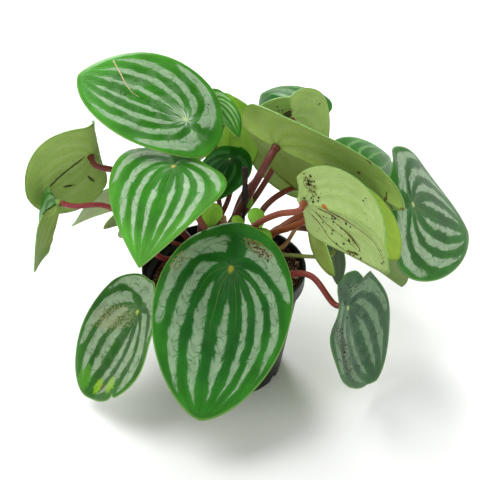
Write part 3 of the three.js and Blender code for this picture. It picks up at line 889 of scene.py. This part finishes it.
LOOSE_CRUMBS, HEAPED_CRUMBS = 620, 520
HEAP_TOP, HEAP_LIMIT = 70.2, 72.5  # heights of the heap at the right, inside the rim


def soil_crumbs(paint, light):
    """Crumbs all over the soil and heaped up inside the rim at the right, some of them light grit."""
    draw = random.Random(11)
    crumbs, grit = ([], []), ([], [])
    edge = wall_radius(SOIL["level"]) - POT["wall"] - 2
    while len(crumbs[0]) < LOOSE_CRUMBS:
        x, y = draw.uniform(-edge, edge), draw.uniform(-edge, edge)
        if hypot(x, y) > edge:
            continue
        if any(hypot(x - sx, y - sy) < STEM["neck"] + 1.5 for sx, sy in STEMS.values()):
            continue
        size = 0.35 + 1.2 * draw.random() ** 3
        places, sizes = grit if draw.random() < 0.10 else crumbs
        places.append((x, y, float(soil_top(x, y)) + 0.35))
        sizes.append(size * (0.7 if places is grit[0] else 1))
    for _ in range(HEAPED_CRUMBS):
        a = draw.gauss(0.0, 0.55)
        r = draw.uniform(40, 48)
        pile = min(HEAP_TOP - 1.2 * abs(a) + 0.25 * (r - 40), HEAP_LIMIT)
        places, sizes = grit if draw.random() < 0.08 else crumbs
        places.append((r * cos(a), r * sin(a), pile + draw.uniform(-1.8, 0.4)))
        sizes.append(0.5 + 1.3 * draw.random() ** 2)
    make_crumbs("soil_crumbs", *crumbs, paint, 12, "soil")
    make_crumbs("soil_grit", *grit, light, 13, "soil")


def make_stem(name, place, paint, seed):
    """A short thick stem: a ringed neck, and a crown with the lumps of old stalks."""
    draw = random.Random(seed)
    sides, rows = 28, 26
    bumps = [(draw.uniform(0, 6.3), draw.uniform(-0.6, 1.1), draw.uniform(0.35, 0.7)) for _ in range(9)]
    top = STEM["height"] - STEM["knob"] * 0.86 - STEM["foot"]
    neck_share, first, last = 0.45, -pi / 3, pi / 2 - 0.12
    a = np.arange(sides) * 2 * pi / sides
    points = [[(0, 0, STEM["foot"])]]
    for k in range(rows):
        share = k / (rows - 1)
        crown = share > neck_share
        tilt = first + (share - neck_share) / (1 - neck_share) * (last - first)
        z = STEM["foot"] + 0.1 + share * top
        radius = STEM["neck"] - 0.45 + 0.25 * sin(share * 25)
        if crown:
            radius = STEM["knob"] * cos(tilt)
            z = STEM["height"] + STEM["knob"] * sin(tilt)
        for heading, height, size in bumps if crown else ():
            aside = (np.mod(a - heading + pi, 2 * pi) - pi) * cos(tilt)
            gap = np.hypot(aside, tilt - height)
            radius = radius + 0.2 * np.exp(-((gap / size) ** 2) * 4) - 0.04
        points.append(ring(radius, z, sides))
    points.append([(0, 0, STEM["height"] + STEM["knob"])])
    points = np.concatenate(points) + np.array([*place, 0])
    piece = make_piece(f"crown_{name}", points, hub_faces(sides, rows), [paint], "stem")
    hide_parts(f"stem_{name}")


def make_marks(name, blade, marks, paint, side, radius):
    """Thin ridges along lines of places on a blade's face, half sunk in it."""
    for index, places in enumerate(marks):
        line = catmull([blade.place(u, v, side) for u, v in places], MARK_STEPS)
        radii = radius * (1 - 0.75 * np.linspace(0, 1, len(line)))
        slot, seed = blade.leaf["slot"], 31 + index
        make_tube(f"{name}_{index}", line, radii, paint, None, MARK_SIDES, slot, 0.3, seed)


def make_specks(name, blade, spots, paint, side, seed, size):
    """Crumbs of soil that cling to a blade's face, in a loose cluster round each given place."""
    draw = random.Random(seed)
    places, sizes = [], []
    for u, v, count, spread in spots:
        for _ in range(count):
            near = (u + draw.gauss(0, spread), v + draw.gauss(0, spread))
            grain = size * (0.35 + draw.random() ** 2)
            if blade.reach(*near) < 0.95:
                places.append(blade.place(*near, side, 0.15 * grain))
                sizes.append(grain)
    make_crumbs(name, places, sizes, paint, seed, blade.leaf["slot"])


# -------- the plant

make_camera()

FLOOR = 3000
corners = [(-FLOOR, -FLOOR, 0), (FLOOR, -FLOOR, 0), (FLOOR, FLOOR, 0), (-FLOOR, FLOOR, 0)]
floor_sheet = put("floor", new_mesh("floor", corners, [[0, 1, 2, 3]]))
floor_sheet.data.materials.append(plain_paint("floor_paint", "fafafa", "fcfcfc", 3, 0.8, 0.05))

make_world(0.58)
make_lamp("key", (-0.7, -0.2, 1.7), 1.2, 19)
make_lamp("fill", (1.2, -1.1, 1.2), 1.6, 8)
make_lamp("back", (-0.35, 1.2, 0.75), 0.6, 14)
bpy.context.scene.view_settings.view_transform = "Standard"

# A leaf's looks. On the upper side: colours of the dark bands and of the green near the margin, the silver
# and how much of it is kept, how many bands lie on each side, how far the midrib bows, how wide the silver
# is, what is added at the back, where it starts, the side veins' spacing in millimetres, where the light
# main veins end, the rays and the spot at the stalk, and a silver mist. On the underside: its two colours
# and its dark flecks. Then the patches on each side.
USUAL_LOOK = dict(
    dark="2f7418", edge="48902c", silver="9db698", bright=0.9, bands=4, bow=0, width=0.5, back=0.1,
    start=0.22, net=5, veins=0.3, burst=0.1, glow="a9c070", mist=0.03, under="93ad62", shade="7f9b50",
    flecks=0.25, marks=[], under_marks=[],
)
USUAL_STALK, YOUNG_STALK = ("6a2a1e", "7c3a28"), ("8a9a4a", "7d8a40")
CROWN_LOOK = dict(dark="76b036", edge="80bc3c", silver="a0cc58", bright=0.2, under="a0c84a")
BROWN = "6b4a2c"


def patch(u, v, long, wide, code, **more):
    """A patch for Paint.blotch: its place, half sizes and colour, and what isn't usual."""
    return dict(u=u, v=v, long=long, wide=wide, code=code, **more)


LOOKS = dict(
    top_left=dict(
        dark="2a6c14", edge="3f8824", silver="92ae8a", bow=0.05, width=0.42, burst=1.0, start=0.16,
        back=0.2, mist=0.3, glow="b9cf86", stalk=("54201a", "6c3624"),
    ),
    mid_left=dict(
        dark="2b7412", edge="4f9430", silver="a0ba98", veins=0.75, glow="b9a84a", net=6, bow=0.05,
        width=0.43, start=0.28, back=0, stalk=("6c2c26", "84463a"),
        marks=[patch(-11, -29, 5, 2.2, "c9b08a", turn=20)],
    ),
    front=dict(
        dark="1f5f1e", edge="2f7420", silver="8fab88", veins=0.6, glow="a9a83e", net=5.5, start=0.26,
        bow=0.14, stalk=("642a22", "74382c"),
        marks=[
            patch(-15, 12, 10, 3.5, "98855a", turn=70, fine=0.9, ragged=1.1),
            patch(3, -32, 7, 4, "a8946c", turn=-20, fine=1, ragged=1.1),
            patch(-14, 13, 9, 3, "4a3018", turn=65, fine=0.92, ragged=1.2),
            patch(4, -31, 5, 3, "54391f", turn=-20, fine=1.0, ragged=1.2),
        ],
    ),
    low_left=dict(
        dark="285a1a", edge="336a22", silver="90a886", width=0.6, glow="a9b848", mist=0.15, net=4.5,
        bands=3.5, stalk=("a04c40", "b06450"),
        marks=[
            patch(14, -13, 17, 8, "a0a078", turn=-50, share=0.6, fine=0.9, ragged=1.2),
            patch(20, -14, 12, 5, "8f8a58", turn=-50, share=0.5, fine=1.0, ragged=1.2),
            patch(60, -7, 9, 5, "4f9020", turn=20, share=0.8, fine=0.7, ragged=1.1),
            patch(57, 5, 6, 3, "86b41c", share=0.85, fine=0.7, ragged=1.1),
            patch(47, 15, 6, 4, "86b41c", share=0.75, fine=0.7, ragged=1.1),
            patch(54, 9, 2, 1.5, BROWN),
        ],
    ),
    far_left=dict(
        under="9ab75e", shade="86a450", stalk=("6e2624", "7c3430"),
        under_marks=[
            patch(18, -2, 16, 0.9, "3c4420", turn=-15, ragged=0.9),
            patch(18, -14, 4, 0.8, "3c4420", turn=30, ragged=0.9),
            patch(4, -19, 4, 0.8, "3c4420", turn=70, ragged=0.9),
        ],
    ),
    left_edge=dict(
        under="8ca650", shade="749044", dark="2c6a1c", silver="7fa070", bright=0.6,
        stalk=("7e2026", "8e2e30"),
    ),
    left_back=dict(under="a8bc80", shade="98ad6c"),
    # The inner leaf lies in shadow behind the front leaves: its very dark greens and dim silver are painted
    # shade.
    inner=dict(
        dark="0f4a0a", edge="1c6012", silver="4f8a4c", bright=0.45, width=0.34, mist=0.05, bands=3,
    ),
    # The upper back leaf's underside greens are partly its own colour and partly painted light for the light
    # that shines through the leaf.
    upper_back=dict(under="a4de44", shade="8cc43a"),
    top_back=dict(dark="145404", edge="256a0e", silver="7ba866", width=0.25, bright=0.4),
    top=dict(
        under="b2d074", shade="9ebc62",
        under_marks=[patch(-3, 4, 8, 3, "4f3c20", turn=40, fine=0.6, share=0.9, ragged=1.1)],
    ),
    # The right big leaf's underside greens are partly its own colour and partly painted light for the light
    # that shines through the leaf.
    right_big=dict(
        under="aac864", shade="9ab858", stalk=("561f18", "743426"),
        under_marks=[
            patch(62, -33, 6, 1.6, BROWN, turn=85, ragged=0.9),
            patch(55, -11, 1.6, 1.1, BROWN),
            patch(75, 4, 12, 1.0, "4a3c22", turn=85, ragged=1.0, fine=0.8),
            patch(87, 0, 3, 2, BROWN, share=0.7),
        ],
    ),
    right_front=dict(
        under="afc67e", shade="9db869", flecks=0.35, stalk=("7c3622", "8e442c"),
        under_marks=[
            patch(13, 0, 2.2, 1.6, "b06a2c", turn=30, fine=0.2),
            patch(28, 14, 12, 0.8, "5f5a2c", turn=25, ragged=0.9),
            patch(31, 23, 6, 0.8, "5f5a2c", turn=-15, ragged=0.9),
            patch(4, -11, 6, 3.5, "57481f", turn=60, fine=0.9, share=0.8),
        ],
    ),
    far_right=dict(
        dark="205c10", edge="2c6e1a", silver="94ae8a", width=0.48, bright=1.0, stalk=("8c3c1c", "9a4a26"),
    ),
    right_back=dict(dark="236a0a", edge="338014", silver="8bb270", width=0.3, bright=0.5),
    low_right=dict(
        dark="34563a", edge="406440", silver="7f9c78", bright=0.7, bands=3, mist=0.35,
        stalk=("842e28", "92382e"),
        marks=[
            patch(14, -21, 34, 5, "2a2014", turn=4, fine=0.98, ragged=1.2),
            patch(-10, 5, 9, 5, "2f2416", turn=60, fine=1.04, ragged=1.2),
        ],
    ),
    right_low_back=dict(under="8ca85c", shade="7b984e"),
    right_inner=dict(under="aed04c", shade="98bc44", flecks=0.1, stalk=("7e3618", "8c4622")),
    young_folded=dict(
        dark="488c2a", silver="98c486", bright=0.8, under="90b456", shade="7ca048",
        stalk=("6a3026", "84493a"),
    ),
    young_left=dict(under="86985a", shade="74884a", stalk=("74382c", "8a4f40")),
    young_right=dict(under="c0da70", shade="a6c85a", flecks=0.1, stalk=("8a5a36", "93803f")),
    young_right_back=dict(under="74886a", shade="62785a"),
    young_small_right=dict(dark="78b438", edge="86c040", silver="a0d060", bright=0.3),
    young_crown_left=dict(dark="86c03c", edge="8fc844", silver="b4dc68", bright=0.2, under="b0d850"),
    young_crown_back=CROWN_LOOK,
    young_crown_middle=dict(dark="8cc43e", edge="96cc48", silver="b8e070", bright=0.2, under="b4da54"),
    young_crown_low=CROWN_LOOK,
)
# Notches in a blade's margin: place along it (0 base, 1 tip, 2 base again), half its width, depth.
BITES = dict(
    low_left=[(0.72, 0.02, 0.06)], low_right=[(0.2, 0.08, 0.25)], far_left=[(0.12, 0.05, 0.15)]
)

# Leaves that hang in shade: their margins get a darker green, which is painted shade.
SHADED = ("inner", "top_back", "far_right", "low_right")  # leaves with a dark margin
rim_paint = plain_paint("margin", "6f9f45", "8ab45c", 300, 0.5, 0.05)
# The darker margin of the shaded leaves is painted shade, not the margin's own colour.
shaded_rim = plain_paint("painted_shade_margin", "35602c", "44703a", 300, 0.5, 0.05)
young_rim = plain_paint("young_margin", "8fbf55", "9ccf60", 300, 0.5, 0.05)
blades = {}

for index, (name, entry) in enumerate({**LEAVES, **YOUNG}.items()):
    young = name in YOUNG
    look = {**USUAL_LOOK, **LOOKS.get(name, {})}
    slot, rim, stalk = ("young_leaf", young_rim, YOUNG_STALK) if young else ("blade", rim_paint, USUAL_STALK)
    leaf = dict(entry, slot=slot, bites=BITES.get(name, []), bands=look["bands"], bow=look["bow"])
    paints = (upper_side(f"upper_{name}", look), under_side(f"under_{name}", look))
    paints += (shaded_rim if name in SHADED else rim,)
    sizes = (SMALL_SECTORS, SMALL_RINGS) if leaf["length"] < SMALL else (SECTORS, RINGS)
    node = name if young else f"leaf_{name}"
    blades[name] = make_leaf(f"blade_{name}", leaf, paints, node, *sizes, 20 + index)
    paint = stalk_paint(f"stalk_{name}", *look.get("stalk", stalk))
    node, slot = (None, slot) if young else (f"stalk_{name}", "stalk")
    make_stalk(f"petiole_{name}", leaf, paint, node, slot, 60 + index)

stem_paint = plain_paint("crown", "3d2018", "6b3a28", 160, 0.7, 0.4)
for index, (name, place) in enumerate(STEMS.items()):
    make_stem(name, place, stem_paint, 100 + index)

spike = stalk_line("right", SPIKE)
share = np.linspace(0, 1, len(spike))
swelling = 0.75 + 0.75 * np.clip((share - 0.72) / 0.06, 0, 1)
radii = SPIKE_RADIUS * (1 + 0.15 * np.sin(share * 40)) * swelling
spike_paint = plain_paint("dried_spike", "17100c", "35261b", 400, 0.9, 0.4)
make_tube("spike", spike, radii, spike_paint, "dry_spike", 10, "dry_spike", 0.12, 5)

stub = stalk_line("front", STUB)
radii = STUB_RADIUS * (1 + 0.06 * np.sin(np.linspace(0, 23, len(stub))))
stub_paint = plain_paint("old_stub", "8a6a45", "b08a5c", 500, 0.85, 0.3)
make_tube("stub", stub, radii, stub_paint, "old_stub", STALK_SIDES, "dry_spike", 0.06, 6)

crack_paint = plain_paint("healed_crack", "b5a27e", "cfc09e", 900, 0.8, 0.1)
crack = [(57, -16), (48, -8), (40, -1), (35, 2), (30, 3)]
make_marks("crack", blades["top_left"], [crack], crack_paint, 1, 0.5)

make_pot(plain_paint("black_plastic", "040405", "0a0a0b", 60, 0.5, 0.05))
dark_soil = soil_paint("potting_mix")
make_soil(dark_soil)
soil_crumbs(dark_soil, plain_paint("grit", "9a8260", "c4b08c", 500, 0.9, 0.2))

vein_brown = plain_paint("browned_vein", "5a4a22", "7a6a34", 900, 0.7, 0.1)
brown_lines = [[(4, 8), (9, 15), (14, 21), (28, 25), (40, 23)], [(8, 2), (20, 6), (27, 12), (37, 16)]]
brown_lines += [[(6, 5), (12, 12), (24, 17), (34, 20)], [(14, 2), (32, 5), (50, 4), (65, 4)]]
make_marks("brown_vein", blades["right_front"], brown_lines, vein_brown, -1, 0.32)

# Where soil clings to a leaf: the face, the crumbs' size, and clusters of place, number and spread.
SPECKS = {
    "top_left": (1, 0.6, [(39, 6, 3, 1.5), (-3, -20, 2, 1), (32, 22, 1, 1)]),
    "right_front": (-1, 0.65, [
        (3, -14, 24, 2.6), (6, -5, 18, 2.4), (20, 6, 9, 4), (27, 14, 12, 5), (14, 21, 12, 5),
        (33, 20, 12, 5), (38, -12, 6, 4), (52, -1, 5, 6), (60, 8, 6, 5), (10, 10, 12, 4),
    ]),
    "top": (-1, 0.5, [(-5, 4, 14, 3), (2, -23, 4, 1.5), (-9, 8, 8, 2)]),
    "right_big": (-1, 0.4, [(74, 4, 9, 4), (62, -33, 4, 3)]),
    "far_left": (-1, 0.4, [(16, -4, 6, 4), (9, 3, 3, 2)]),
    "low_right": (1, 0.5, [
        (-8, -2, 8, 4), (4, -7, 3, 2), (2, -18, 12, 4), (16, -21, 16, 4), (30, -20, 14, 4), (42, -14, 6, 4),
    ]),
}
dirt = plain_paint("clinging_soil", "0f0a07", "33241a", 600, 0.95, 0.3)
for index, (name, (side, size, spots)) in enumerate(SPECKS.items()):
    make_specks(f"specks_{name}", blades[name], spots, dirt, side, 41 + index, size)
